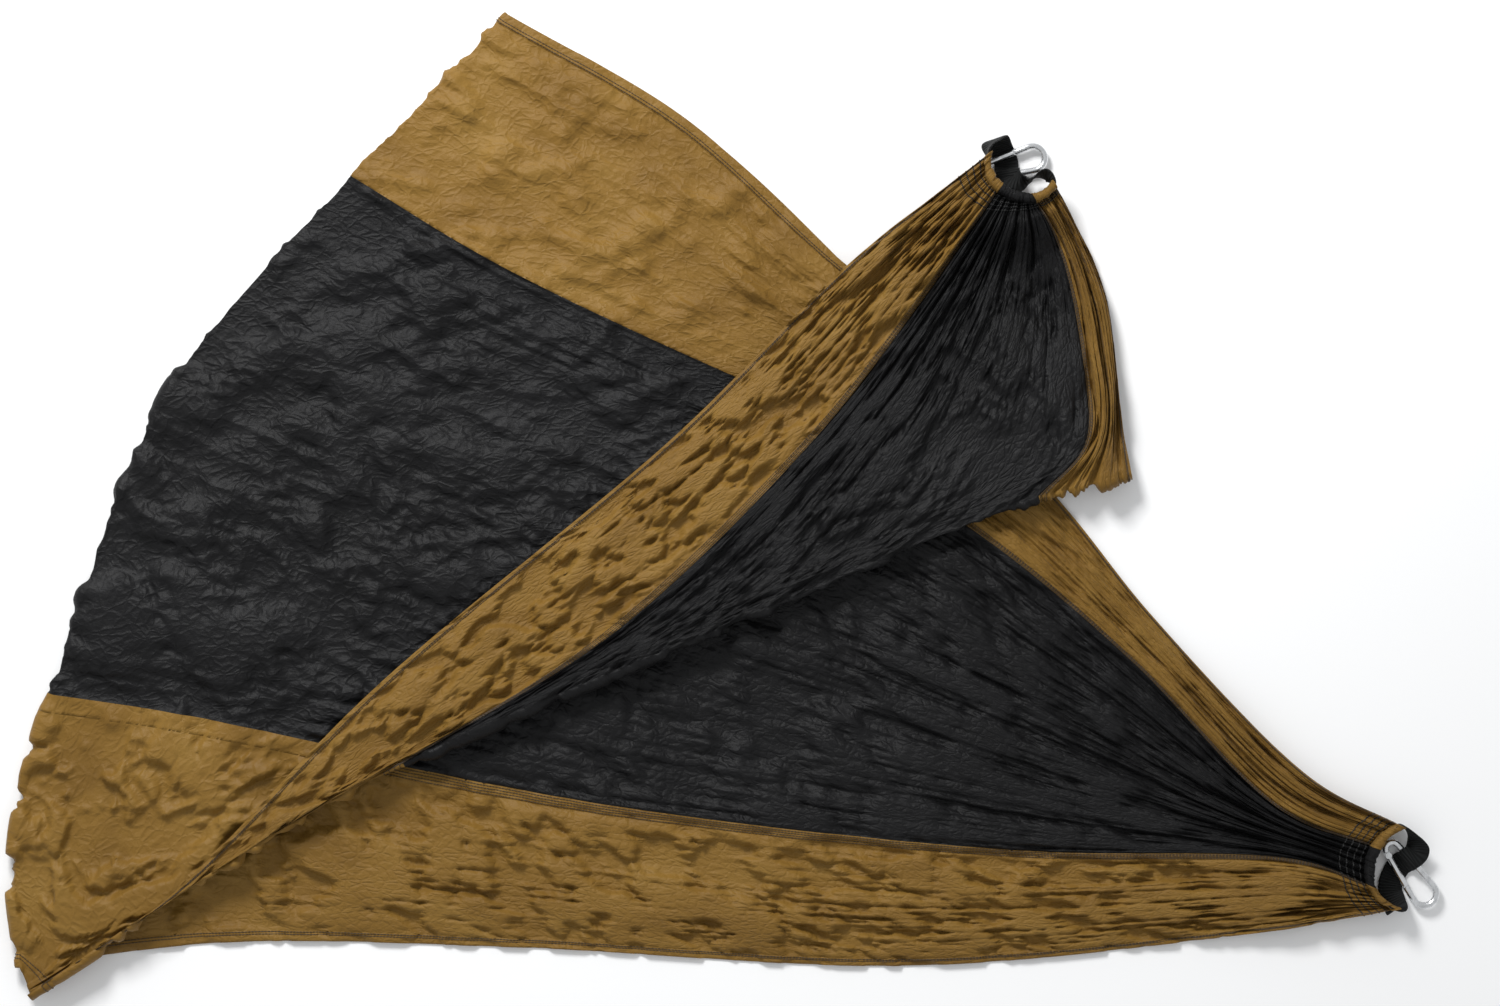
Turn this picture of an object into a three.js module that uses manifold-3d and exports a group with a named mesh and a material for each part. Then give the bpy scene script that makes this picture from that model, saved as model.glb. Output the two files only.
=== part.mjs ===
// A parachute-nylon camping hammock, laid on the floor and folded over twice.
// Millimetres. +X to the right, +Y away from the viewer, +Z up, floor at z = 0.
//
// The cloth is three long panels sewn side by side. It starts at gathered end B,
// runs out to the middle fold, comes back on top of itself to the diagonal fold
// and is turned over once more to gathered end A. A webbing loop passes through
// the sewn channel at each end and carries a steel snap hook.
import * as THREE from "three";
import { mergeVertices } from "three/addons/utils/BufferGeometryUtils.js";
import Module from "manifold-3d";

const wasm = await Module();
wasm.setup();

const { degToRad, lerp, smoothstep } = THREE.MathUtils;
const at = (x, y, z = 0) => new THREE.Vector3(x, y, z);
const up = at(0, 0, 1);

// ---- Sizes ----

const clothDepth = 12; // one layer of crinkled nylon as it lies
const layerGap = 0.5; // air between two layers
const layerStep = clothDepth + layerGap;
const hemShare = 0.5; // a hem lies flatter than the crinkled cloth
const gatheredDepth = 28; // the cloth bunched up at the two ends
const bunchedShare = 0.75; // panel 1, where it lies bunched up
const seamGap = 0.8; // between two panels, measured along the cross line
const foldRadius = layerStep / 2;
const foldReach = foldRadius + clothDepth / 2;

const webbingWidth = 24;
const webbingThick = 2.2;
const sideRoom = 1.4; // air round the webbing in the sewn channel it runs through
const faceRoom = 1.5;
const boreHeight = webbingWidth + 2 * sideRoom;
const boreDepth = webbingThick + 2 * faceRoom;
const channelHeight = boreHeight + 2 * 1.6;
const channelDepth = boreDepth + 2 * 3.4; // both walls are gathered cloth

const wireRadius = 3.25; // snap hook, bent from one steel wire
const narrowRadius = 6.75; // to the middle of the wire
const wideRadius = 12.25;
const bendSpacing = 54.5; // between the middles of the two bends
const hookHeight = 7; // middle of the wire above the floor
const gateRadius = wireRadius - 0.1;
const pivotAt = 4; // along the gate, from where the narrow bend ends
const noseAt = bendSpacing - 15; // the nose reaches back this far from the wide bend
const gateTipAt = noseAt - 1.5;
const slotRoom = 0.3; // air on each side of a tongue in the gate
const tongueThick = 2.4;
const slotThick = tongueThick + 2 * slotRoom;
const pinRadius = 1;
const pinHoleRadius = pinRadius + 0.3;

// ---- Solids ----

// One closed body through rings of equally many points. The end caps join each
// point to the one across the ring, so a long flat ring gets no sliver.
function skin(rings, closed = false) {
  const size = rings[0].length;
  const position = rings.flat().flatMap((p) => [p.x, p.y, p.z]);
  const index = [];
  const quad = (a, b, c, d) => index.push(a, b, c, a, c, d);
  const bands = closed ? rings.length : rings.length - 1;
  for (let i = 0; i < bands; i++) {
    const here = i * size;
    const next = ((i + 1) % rings.length) * size;
    for (let j = 0; j < size; j++) {
      const k = (j + 1) % size;
      quad(here + j, here + k, next + k, next + j);
    }
  }
  if (!closed) {
    const last = (rings.length - 1) * size;
    for (let j = 0; j < size / 2 - 1; j++) {
      const far = size - 1 - j;
      quad(far, far - 1, j + 1, j);
      quad(last + j, last + j + 1, last + far - 1, last + far);
    }
  }
  const geometry = new THREE.BufferGeometry();
  geometry.setAttribute("position", new THREE.Float32BufferAttribute(position, 3));
  geometry.setIndex(index);
  return facingOut(geometry);
}

// Turns every triangle round if the body came out inside out.
function facingOut(geometry) {
  const index = geometry.getIndex().array;
  const corner = (i) => new THREE.Vector3().fromBufferAttribute(geometry.attributes.position, index[i]);
  let volume = 0;
  for (let i = 0; i < index.length; i += 3) {
    volume += corner(i).dot(corner(i + 1).cross(corner(i + 2)));
  }
  if (volume < 0) {
    for (let i = 0; i < index.length; i += 3) {
      [index[i], index[i + 1]] = [index[i + 1], index[i]];
    }
  }
  return geometry;
}

function solid(geometry) {
  const bare = geometry.clone();
  bare.deleteAttribute("normal");
  bare.deleteAttribute("uv");
  const merged = mergeVertices(bare, 1e-4);
  return new wasm.Manifold(
    new wasm.Mesh({
      numProp: 3,
      vertProperties: new Float32Array(merged.attributes.position.array),
      triVerts: new Uint32Array(merged.getIndex().array),
    }),
  );
}

function shape(manifold) {
  const mesh = manifold.getMesh();
  const geometry = new THREE.BufferGeometry();
  geometry.setAttribute("position", new THREE.Float32BufferAttribute(mesh.vertProperties, 3));
  geometry.setIndex(Array.from(mesh.triVerts));
  return geometry;
}

// ---- How the cloth is laid ----

// w is the place across the cloth: 0 at the first hem, 1/3 and 2/3 at the two
// seams, 1 at the second hem. Each line across has a point at every sixth of w.
const lineOf = (points) => new THREE.CatmullRomCurve3(points.map(([x, y]) => at(x, y)));

const endB = lineOf([
  [678, -320], [664, -328], [652, -342], [646, -361], [648, -380], [658, -394], [673, -403],
]);
const middleFold = lineOf([
  [-220, 496], [-292, 418], [-375, 334], [-556, 120], [-675, -186], [-712, -340], [-709, -462],
]);
const diagonalFold = lineOf([
  [412, 19], [372, 8], [320, -4], [3, -135], [-309, -268], [-500, -377], [-680, -497],
]);
const endA = lineOf([
  [332, 317], [323, 308], [311, 303], [294, 305], [278, 313], [267, 328], [266, 347],
]);

// Where each of the four long lines goes between those, on the three legs.
const outLines = [
  [[590, -274], [432, -112], [343, -1], [126, 238], [-34, 384]],
  [[559, -305], [410, -156], [257, -29], [-60, 165]],
  [[577, -354], [300, -346], [-94, -303], [-400, -245]],
  [[566, -423], [200, -461], [-200, -443], [-494, -438]],
];
const backLines = [
  [[-34, 384], [126, 238], [290, 115]],
  [[-220, 238], [26, 122], [200, 50]],
  [[-521, -212]],
  [],
];
const overLines = [
  [[398, 96], [386, 205], [358, 274]],
  [[362, 60], [360, 154], [338, 255]],
  [[-103, -126], [95, 66], [200, 201]],
  [[-554, -396], [-344, -184], [-43, 69], [128, 238]],
];

// Straight lines that stand for the hem of the lowest layer and of the one on it.
const lowHem = { from: at(126, 238), to: at(343, -1) };
const midHem = { from: at(126, 238), to: at(412, 19) };
const rampStart = 52;
const rampEnd = 98;
const hookBump = 14; // how far end A is held up by the hook under it

// 1 over the layer that ends at this hem, falling to 0 past it.
function over(hem, p) {
  const along = hem.to.clone().sub(hem.from).normalize();
  const past = (p.x - hem.from.x) * -along.y + (p.y - hem.from.y) * along.x;
  return 1 - smoothstep(past, rampStart, rampEnd);
}

function lift(leg, p) {
  if (leg === 0) return 0;
  const onLow = layerStep * over(lowHem, p);
  if (leg === 1) return onLow;
  const onMid = onLow + layerStep * over(midHem, p);
  const nearHook = 1 - smoothstep(Math.hypot(p.x - 288, p.y - 332), 50, 95);
  return Math.max(onMid, hookBump * nearHook);
}

// Panel 1 lies bunched up wherever nothing is on top of it.
function depth(leg, f, w) {
  const bunched = 1 - smoothstep(w, 0.22, 0.38);
  let gather = 0;
  if (leg === 0) {
    gather = Math.max(1 - smoothstep(f, 0, 0.2), bunchedShare * bunched * (1 - smoothstep(f, 0.14, 0.27)));
  }
  if (leg === 2) {
    gather = Math.max(smoothstep(f, 0.75, 1), bunchedShare * bunched * smoothstep(f, 0.03, 0.3));
  }
  const flat = lerp(hemShare, 1, smoothstep(Math.min(w, 1 - w), 0, 0.12));
  return lerp(clothDepth * flat, gatheredDepth, gather);
}

// The way out of a fold, square to its line; turn is 1 or -1.
function outward(fold, w, turn) {
  const along = fold.getTangent(w);
  return at(turn * along.y, -turn * along.x).normalize();
}

const foldInset = (fold, turn) => (w) =>
  fold.getPoint(w).addScaledVector(outward(fold, w, turn), -foldReach);
const foldOne = foldInset(middleFold, 1);
const foldTwo = foldInset(diagonalFold, -1);

const legs = [
  { start: (w) => endB.getPoint(w), end: foldOne, lines: outLines, steps: 15 },
  { start: foldOne, end: foldTwo, lines: backLines, steps: 9 },
  { start: foldTwo, end: (w) => endA.getPoint(w), lines: overLines, steps: 15 },
];
for (const leg of legs) {
  leg.rails = leg.lines.map((inner, k) => {
    const first = leg.start(k / 3);
    const last = leg.end(k / 3);
    return lineOf([[first.x, first.y], ...inner, [last.x, last.y]]);
  });
}

// A point of one panel on one leg: the blend of the two long lines beside it and
// the two lines across at its ends.
function onLeg(leg, panel, f, v) {
  const w = (panel + v) / 3;
  const point = at(0, 0);
  const add = (p, share) => point.addScaledVector(p, share);
  add(leg.rails[panel].getPointAt(f), 1 - v);
  add(leg.rails[panel + 1].getPointAt(f), v);
  add(leg.start(w), 1 - f);
  add(leg.end(w), f);
  add(leg.start(panel / 3), -(1 - f) * (1 - v));
  add(leg.start((panel + 1) / 3), -(1 - f) * v);
  add(leg.end(panel / 3), -f * (1 - v));
  add(leg.end((panel + 1) / 3), -f * v);
  return point;
}

// One line of points across a panel, each with its normal and its depth.
function crossLine(legNumber, panel, f, columns) {
  const leg = legs[legNumber];
  const facing = legNumber === 1 ? -1 : 1;
  const line = [];
  for (let i = 0; i <= columns; i++) {
    const v = i / columns;
    const place = onLeg(leg, panel, f, v);
    const thick = depth(legNumber, f, (panel + v) / 3);
    place.z = lift(legNumber, place) + thick / 2;
    line.push({ place, normal: at(0, 0, facing), thick, w: (panel + v) / 3 });
  }
  return line;
}

// The same line carried part of the way round a fold.
function roundFold(line, fold, turn, angle) {
  return line.map(({ place, normal, thick, w }) => {
    const out = outward(fold, w, turn);
    const moved = place.clone().addScaledVector(out, foldRadius * Math.sin(angle));
    moved.z += foldRadius * (1 - Math.cos(angle));
    const turned = normal.clone().multiplyScalar(Math.cos(angle));
    turned.addScaledVector(out, -turn * Math.sin(angle));
    return { place: moved, normal: turned, thick, w };
  });
}

// Closes a cross line into a ring, leaving the gap at each seam.
function ringOf(line, panel) {
  const last = line.length - 1;
  const places = line.map(({ place }) => place.clone());
  const inward = (i, j) => line[j].place.clone().sub(line[i].place).setLength(seamGap / 2);
  if (panel > 0) places[0].add(inward(0, 1));
  if (panel < 2) places[last].add(inward(last, last - 1));
  const side = (sign) =>
    line.map(({ normal, thick }, i) => places[i].clone().addScaledVector(normal, (sign * thick) / 2));
  return [...side(1), ...side(-1).reverse()];
}

function panelStrip(panel, columns) {
  const rings = [];
  const foldSteps = 4;
  legs.forEach((leg, number) => {
    let line;
    for (let i = 0; i <= leg.steps; i++) {
      line = crossLine(number, panel, i / leg.steps, columns);
      rings.push(ringOf(line, panel));
    }
    if (number === 2) return;
    const fold = number === 0 ? middleFold : diagonalFold;
    const turn = number === 0 ? 1 : -1;
    for (let i = 1; i < foldSteps; i++) {
      const angle = (Math.PI * i) / foldSteps;
      rings.push(ringOf(roundFold(line, fold, turn, angle), panel));
    }
  });
  return solid(skin(rings));
}

// ---- Snap hooks ----

const taper = Math.asin((wideRadius - narrowRadius) / bendSpacing);

// Places a hook: u runs from its narrow to its wide end, v towards its spine.
function hookFrame(x, y, degrees, flipped) {
  const angle = degToRad(degrees);
  const u = at(Math.cos(angle), Math.sin(angle));
  const v = up.clone().cross(u).multiplyScalar(flipped ? -1 : 1);
  const w = u.clone().cross(v);
  return new THREE.Matrix4().makeBasis(u, v, w).setPosition(x, y, hookHeight);
}

const hookB = hookFrame(671, -344, -54.5, false);
const hookA = hookFrame(259.6, 330, 16, true);

// A point given along the spine or the gate, out from it, and above the hook.
function beside(sign, along, out, above = 0) {
  const line = at(Math.cos(taper), sign * Math.sin(taper));
  const square = at(-Math.sin(taper), sign * Math.cos(taper));
  const point = square.clone().multiplyScalar(narrowRadius + out);
  point.addScaledVector(line, along);
  point.z = above;
  return point;
}
const bySpine = (along, out, above) => beside(1, along, out, above);

// The gate's own axes in the hook: x along the gate, y towards the spine.
const gateAxes = new THREE.Matrix4()
  .makeRotationZ(-taper)
  .setPosition(beside(-1, 0, 0));

function hookBody() {
  const wireSides = 12;
  const path = [];
  const bend = (x, radius, from, to, steps) => {
    for (let i = 0; i <= steps; i++) {
      const angle = lerp(from, to, i / steps);
      const ray = at(Math.cos(angle), Math.sin(angle));
      path.push({ ray, middle: at(x, 0).addScaledVector(ray, radius) });
    }
  };
  const quarter = Math.PI / 2;
  bend(0, narrowRadius, 3 * quarter - taper, quarter + taper, 7);
  bend(bendSpacing, wideRadius, quarter + taper, -quarter - taper, 11);
  path.push({ ray: path[0].ray, middle: beside(-1, noseAt, 0) });
  const rings = path.map(({ ray, middle }) => {
    const ring = [];
    for (let i = 0; i < wireSides; i++) {
      const angle = (2 * Math.PI * (i + 0.5)) / wireSides;
      const edge = middle.clone().addScaledVector(ray, wireRadius * Math.cos(angle));
      ring.push(edge.addScaledVector(up, wireRadius * Math.sin(angle)));
    }
    return ring;
  });
  const pivotTongue = box(-2.5, pivotAt, 5.6, tongueThick);
  const noseTongue = box(gateTipAt - 4.5, noseAt + 2, 5, tongueThick);
  return solid(skin(rings))
    .add(onGate(pivotTongue))
    .add(onGate(post(2.8, tongueThick)))
    .add(onGate(noseTongue))
    .subtract(onGate(post(pinHoleRadius, 4)));
}

const onGate = (geometry) => solid(geometry.applyMatrix4(gateAxes));

function box(from, to, across, thick) {
  return new THREE.BoxGeometry(to - from, across, thick).translate((from + to) / 2, 0, 0);
}

// A round post through the pivot, square to the hook.
function post(radius, height) {
  return new THREE.CylinderGeometry(radius, radius, height, 16)
    .rotateX(Math.PI / 2)
    .translate(pivotAt, 0, 0);
}

// A body turned about the gate's axis, from [radius, along] points.
function turned(profile, sides = 14) {
  const points = profile.map(([radius, along]) => new THREE.Vector2(radius, along));
  return new THREE.LatheGeometry(points, sides).rotateZ(-Math.PI / 2);
}

const slotEnd = pivotAt + 3.4; // bottom of the slot the pivot tongue sits in
const springEnd = 16.8;

function gate() {
  const bar = turned([[0, pivotAt], [gateRadius, pivotAt], [gateRadius, gateTipAt], [0, gateTipAt]]);
  const springBore = turned([[0, 5], [1.7, 5], [1.7, springEnd + 0.4], [0, springEnd + 0.4]]);
  return onGate(bar)
    .add(onGate(post(gateRadius, 2 * gateRadius)))
    .subtract(onGate(box(-1, slotEnd, 8, slotThick)))
    .subtract(onGate(box(gateTipAt - 5.1, gateTipAt + 1, 8, slotThick)))
    .subtract(onGate(post(pinHoleRadius, 8)))
    .subtract(onGate(springBore));
}

// A rivet with a flat head at each end.
function pin() {
  const cheek = gateRadius + 0.35;
  const head = cheek + 0.55;
  const profile = [
    [0, -head], [1.9, -head], [1.9, -cheek], [pinRadius, -cheek],
    [pinRadius, cheek], [1.9, cheek], [1.9, head], [0, head],
  ];
  const points = profile.map(([radius, height]) => new THREE.Vector2(radius, height));
  const lathe = new THREE.LatheGeometry(points, 14).rotateX(Math.PI / 2);
  return onGate(lathe.translate(pivotAt, 0, 0));
}

const plunger = () => onGate(turned([[0, 7.1], [0.7, 7.1], [1.3, 7.7], [1.3, 10.2], [0, 10.2]]));

function spring() {
  const coilRadius = 1.05;
  const wire = 0.25;
  const turns = 5;
  const from = 10.8;
  const rings = [];
  for (let i = 0; i <= turns * 8; i++) {
    const angle = (i * Math.PI) / 4;
    const ray = at(0, Math.cos(angle), Math.sin(angle));
    const along = lerp(from, springEnd - wire, i / (turns * 8));
    const middle = at(along, 0).addScaledVector(ray, coilRadius);
    const ring = [];
    for (let j = 0; j < 6; j++) {
      const side = (j * Math.PI) / 3;
      const edge = middle.clone().addScaledVector(ray, wire * Math.cos(side));
      ring.push(edge.add(at(wire * Math.sin(side), 0)));
    }
    rings.push(ring);
  }
  return onGate(skin(rings));
}

// ---- Webbing loops ----

// A point of a loop: where its middle is and which way its width lies.
const stand = (line, w, z) => ({ middle: line.getPoint(w).setZ(z), width: up.clone() });

function channelPoints(line, z) {
  const points = [];
  for (let i = 0; i <= 6; i++) points.push(stand(line, i / 6, z));
  return points;
}

// By a hook: given along its spine, out from it and as a height over the floor.
function byHook(frame, along, out, height, width) {
  const middle = bySpine(along, out, 0).applyMatrix4(frame);
  return { middle: middle.setZ(height), width };
}
const spineWay = (frame) =>
  bySpine(1, 0, 0).sub(bySpine(0, 0, 0)).transformDirection(frame);

const wrapRadius = wireRadius + 0.8 + webbingThick / 2;
const floorHeight = 0.7 + webbingThick / 2;
const overHeight = hookHeight + wrapRadius;

// From the floor inside the hook, up against its spine and over the top of it.
function roundSpine(frame, along, width) {
  const turns = [[-1.35, -0.7], [-1, 0], [-0.71, 0.71], [0, 1]];
  return turns.map(([out, above]) =>
    byHook(frame, along, out * wrapRadius, hookHeight + above * wrapRadius, width),
  );
}

const wayB = spineWay(hookB);
const loopB = [
  ...channelPoints(endB, 15.5),
  { middle: at(674, -400, 8), width: at(0.7, 0.1, 0.7) },
  { middle: at(670, -388, floorHeight + 0.6), width: at(1, 0, 0) },
  { middle: at(671, -376, floorHeight), width: at(0.9, -0.4, 0) },
  byHook(hookB, 18, -13, floorHeight, wayB),
  ...roundSpine(hookB, 18, wayB),
  byHook(hookB, 18, 9, 12, wayB),
  { middle: at(691, -331, 14), width: at(0.5, -0.4, 0.7) },
];

const wayA = spineWay(hookA);
const loopA = [
  ...channelPoints(endA, hookBump + 15),
  { middle: at(269, 358, 24), width: at(0.5, 0, 0.8) },
  { middle: at(276, 363, 13), width: at(0.9, 0.3, 0.4) },
  byHook(hookA, 25, -28, floorHeight + 2, wayA),
  byHook(hookA, 28, -13, floorHeight, wayA),
  ...roundSpine(hookA, 27, wayA),
  byHook(hookA, 27, 2.5, overHeight + 0.7, wayA),
  byHook(hookA, 29, 5, 15.5, at(0.97, 0.17, 0.17)),
  { middle: at(307, 323, 23), width: at(0.8, 0.1, 0.6) },
  { middle: at(324, 326, 28), width: at(0.3, 0.3, 0.9) },
];

function closedCurve(points) {
  return new THREE.CatmullRomCurve3(points, true);
}

// A flat band along part of a loop, from one of its points to another.
function band(loop, from, to, width, thick, offset = 0, closed = false) {
  const middles = closedCurve(loop.map(({ middle }) => middle));
  const widths = closedCurve(loop.map(({ width: way }) => way));
  const steps = Math.ceil((to - from) * 4);
  const rings = [];
  for (let i = 0; i <= steps; i++) {
    if (closed && i === steps) break;
    const t = (((from + ((to - from) * i) / steps) / loop.length) % 1 + 1) % 1;
    const tangent = middles.getTangent(t);
    const face = tangent.clone().cross(widths.getPoint(t)).normalize();
    const way = face.clone().cross(tangent).normalize();
    const middle = middles.getPoint(t).addScaledVector(face, offset);
    const corner = (a, b) =>
      middle.clone().addScaledVector(way, (a * width) / 2).addScaledVector(face, (b * thick) / 2);
    rings.push([corner(-1, -1), corner(1, -1), corner(1, 1), corner(-1, 1)]);
  }
  return solid(skin(rings, closed));
}

const webbing = (loop) => band(loop, 0, loop.length, webbingWidth, webbingThick, 0, true);
const bore = (loop) => band(loop, 0, loop.length, boreHeight, boreDepth, 0, true);
const bartack = (loop) => band(loop, 2.7, 3.3, 18, 0.7, webbingThick / 2 + 0.65);

// One panel's stretch of the sewn channel, or the room it needs among the others.
function sleeve(loop, panel, room = 0) {
  const gap = 0.06 - room / 20;
  const from = 2 * panel + gap;
  const to = 2 * panel + 2 - gap;
  return band(loop, from, to, channelHeight + 2 * room, channelDepth + 2 * room);
}

function clothPanel(panel, columns) {
  let cloth = panelStrip(panel, columns);
  for (const loop of [loopA, loopB]) {
    for (const other of [0, 1, 2]) {
      if (other !== panel) cloth = cloth.subtract(sleeve(loop, other, 0.5));
    }
    cloth = cloth.add(sleeve(loop, panel)).subtract(bore(loop));
  }
  const bodies = cloth.simplify(0.03).decompose();
  return bodies.reduce((a, b) => (a.volume() > b.volume() ? a : b));
}

// ---- The part ----

const finish = {
  tan: { color: 0x967340, roughness: 0.75 },
  black: { color: 0x252527, roughness: 0.75 },
  webbing: { color: 0x18191a, roughness: 0.9 },
  thread: { color: 0x2c2620, roughness: 0.8 },
  steel: { color: 0xc8cacc, roughness: 0.25, metalness: 1 },
};

const group = new THREE.Group();
group.name = "camping_hammock";

function addNode(name, manifold, look, frame) {
  const geometry = shape(manifold);
  if (frame) geometry.applyMatrix4(frame);
  geometry.computeVertexNormals();
  const mesh = new THREE.Mesh(geometry, new THREE.MeshStandardMaterial(finish[look]));
  mesh.name = name;
  group.add(mesh);
}

addNode("side_panel_1", clothPanel(0, 6), "tan");
addNode("centre_panel", clothPanel(1, 14), "black");
addNode("side_panel_2", clothPanel(2, 7), "tan");

for (const [letter, loop, frame] of [["a", loopA, hookA], ["b", loopB, hookB]]) {
  addNode(`webbing_${letter}`, webbing(loop), "webbing");
  addNode(`webbing_${letter}_bartack`, bartack(loop), "thread");
  addNode(`hook_${letter}_body`, hookBody(), "steel", frame);
  addNode(`hook_${letter}_gate`, gate(), "steel", frame);
  addNode(`hook_${letter}_pin`, pin(), "steel", frame);
  addNode(`hook_${letter}_plunger`, plunger(), "steel", frame);
  addNode(`hook_${letter}_spring`, spring(), "steel", frame);
}

// The origin is under the middle of the whole, on the floor.
const bounds = new THREE.Box3().setFromObject(group);
const middle = bounds.getCenter(at(0, 0));
group.position.set(-middle.x, -middle.y, -bounds.min.z);

export default group;
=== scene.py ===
"""A parachute-nylon camping hammock, laid on a white floor and folded over twice.

The cloth is laid out as in the CAD model: from gathered end B to the middle fold, back to the
diagonal fold, and over once more to gathered end A. The layout is in millimetres and goes into
the row frame when a mesh is made.
"""

import math

import bpy
import numpy as np
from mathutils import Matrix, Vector


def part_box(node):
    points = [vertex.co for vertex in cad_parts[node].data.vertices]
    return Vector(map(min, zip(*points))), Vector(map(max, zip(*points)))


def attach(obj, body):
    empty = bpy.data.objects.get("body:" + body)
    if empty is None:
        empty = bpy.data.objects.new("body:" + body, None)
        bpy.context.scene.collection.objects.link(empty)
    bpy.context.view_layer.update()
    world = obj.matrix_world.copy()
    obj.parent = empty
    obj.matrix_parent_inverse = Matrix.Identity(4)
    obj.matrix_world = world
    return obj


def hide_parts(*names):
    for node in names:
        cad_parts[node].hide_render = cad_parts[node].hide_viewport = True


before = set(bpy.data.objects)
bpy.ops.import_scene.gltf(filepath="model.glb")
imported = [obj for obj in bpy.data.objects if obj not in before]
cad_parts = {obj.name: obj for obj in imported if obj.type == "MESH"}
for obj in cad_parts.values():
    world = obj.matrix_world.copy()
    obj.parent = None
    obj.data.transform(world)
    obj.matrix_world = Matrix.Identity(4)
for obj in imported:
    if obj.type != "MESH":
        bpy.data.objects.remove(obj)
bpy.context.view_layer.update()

# ---- Sizes, in millimetres ----

FLAT_LENGTH = 2700
SIDE_WIDTH = 288  # one tan panel, flat
CENTRE_WIDTH = 690  # the black panel, flat
CLOTH_WIDTH = 2 * SIDE_WIDTH + CENTRE_WIDTH
CLOTH_DEPTH = 12  # one layer of crinkled nylon as it lies
LAYER_STEP = 12.5
HEM_SHARE = 0.5  # of the layer's depth, at a hem
GATHERED_DEPTH = 28
BUNCHED_SHARE = 0.75  # of the gathered depth, where panel 1 lies bunched up
FOLD_RADIUS = LAYER_STEP / 2
FOLD_REACH = FOLD_RADIUS + CLOTH_DEPTH / 2

COLUMN_STEP = 3  # spacing of the cloth's points across, measured on the flat cloth
LEG_ROWS = (360, 170, 290)
FOLD_ROWS = 9
TUBE_ROWS = 17
CHANNEL_SEAM_ROWS = 8  # how far in the stitching of a channel reaches

PLEAT = 31  # width of cloth in one pleat, flat
SMALL_PLEAT = 15
HIDDEN_PLEAT = 12  # the fine tucks that hold spare cloth under another layer
RIDGE_LENGTH = 3.4  # of a crease, over its width
HEM_WIDTH = 18
SEAM_WIDTH = 15
STRIP_RISE = 0.8  # of a hem strip, over and under the cloth
THREAD_RADIUS = 0.5
STITCH = 3.3

HOOK_BUMP = 14  # how far the cloth over hook A is lifted
CHANNEL_HALF_HEIGHT = 13.6
CHANNEL_HALF_DEPTH = 4.9
CHANNEL_CLOTH = 2.4  # depth of the cloth round a channel
CHANNEL_B_HEIGHT = 15.5
CHANNEL_A_HEIGHT = HOOK_BUMP + 15
WEBBING_WIDTH = 24
WEBBING_THICK = 2.2

WIRE_RADIUS = 3.25
NARROW_RADIUS = 6.75
WIDE_RADIUS = 12.25
BEND_SPACING = 54.5
HOOK_HEIGHT = 7
NOSE_AT = BEND_SPACING - 15
TAPER = math.asin((WIDE_RADIUS - NARROW_RADIUS) / BEND_SPACING)

# ---- Curves ----


def curve(points, t, closed=False):
    """The centripetal Catmull-Rom curve through the points, at each t from 0 to 1."""
    points = np.asarray(points, float)
    count = len(points)
    place = np.asarray(t, float) * (count if closed else count - 1)
    first = np.floor(place).astype(int)
    if not closed:
        first = np.clip(first, 0, count - 2)
    share = (place - first)[..., None]
    if closed:
        before, start, end, after = (points[(first + k) % count] for k in (-1, 0, 1, 2))
    else:
        longer = np.vstack([2 * points[0] - points[1], points, 2 * points[-1] - points[-2]])
        before, start, end, after = (longer[first + k] for k in range(4))
    gap = [
        np.sqrt(np.linalg.norm(b - a, axis=-1, keepdims=True))
        for a, b in ((before, start), (start, end), (end, after))
    ]
    gap[1] = np.where(gap[1] < 1e-4, 1, gap[1])
    gap[0] = np.where(gap[0] < 1e-4, gap[1], gap[0])
    gap[2] = np.where(gap[2] < 1e-4, gap[1], gap[2])
    chord = (end - start) / gap[1]
    leave = gap[1] * ((start - before) / gap[0] - (end - before) / (gap[0] + gap[1]) + chord)
    reach = gap[1] * (chord - (after - start) / (gap[1] + gap[2]) + (after - end) / gap[2])
    square = 3 * (end - start) - 2 * leave - reach
    cube = 2 * (start - end) + leave + reach
    return start + share * (leave + share * (square + share * cube))


def by_length(points, share):
    """The curve's points at equal shares of its length."""
    fine = np.linspace(0, 1, 1201)
    steps = np.linalg.norm(np.diff(curve(points, fine), axis=0), axis=1)
    length = np.concatenate([[0], np.cumsum(steps)])
    return curve(points, np.interp(np.asarray(share) * length[-1], length, fine))


def way_along(points, t, closed=False):
    """The unit vector along the curve at each t."""
    low, high = t - 1e-4, t + 1e-4
    if closed:
        low, high = low % 1, high % 1
    else:
        low, high = np.maximum(low, 0), np.minimum(high, 1)
    return unit(curve(points, high, closed) - curve(points, low, closed))


def unit(vectors):
    return vectors / np.maximum(np.linalg.norm(vectors, axis=-1, keepdims=True), 1e-9)


def smooth(x, low, high):
    """0 below low, 1 above high and an S curve between them."""
    x = np.clip((np.asarray(x, float) - low) / (high - low), 0, 1)
    return x * x * (3 - 2 * x)


def mix(a, b, share):
    return a + (b - a) * share


# ---- How the cloth is laid ----

# Each line across the cloth has a point at every third of a panel, from hem to hem.
END_B = [(678, -320), (664, -328), (652, -342), (646, -361), (648, -380), (658, -394), (673, -403)]
MIDDLE_FOLD = [
    (-220, 496), (-292, 418), (-375, 334), (-556, 120), (-675, -186), (-712, -340), (-709, -462),
]
DIAGONAL_FOLD = [
    (412, 19), (372, 8), (320, -4), (3, -135), (-309, -268), (-500, -377), (-680, -497),
]
END_A = [(332, 317), (323, 308), (311, 303), (294, 305), (278, 313), (267, 328), (266, 347)]

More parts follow.
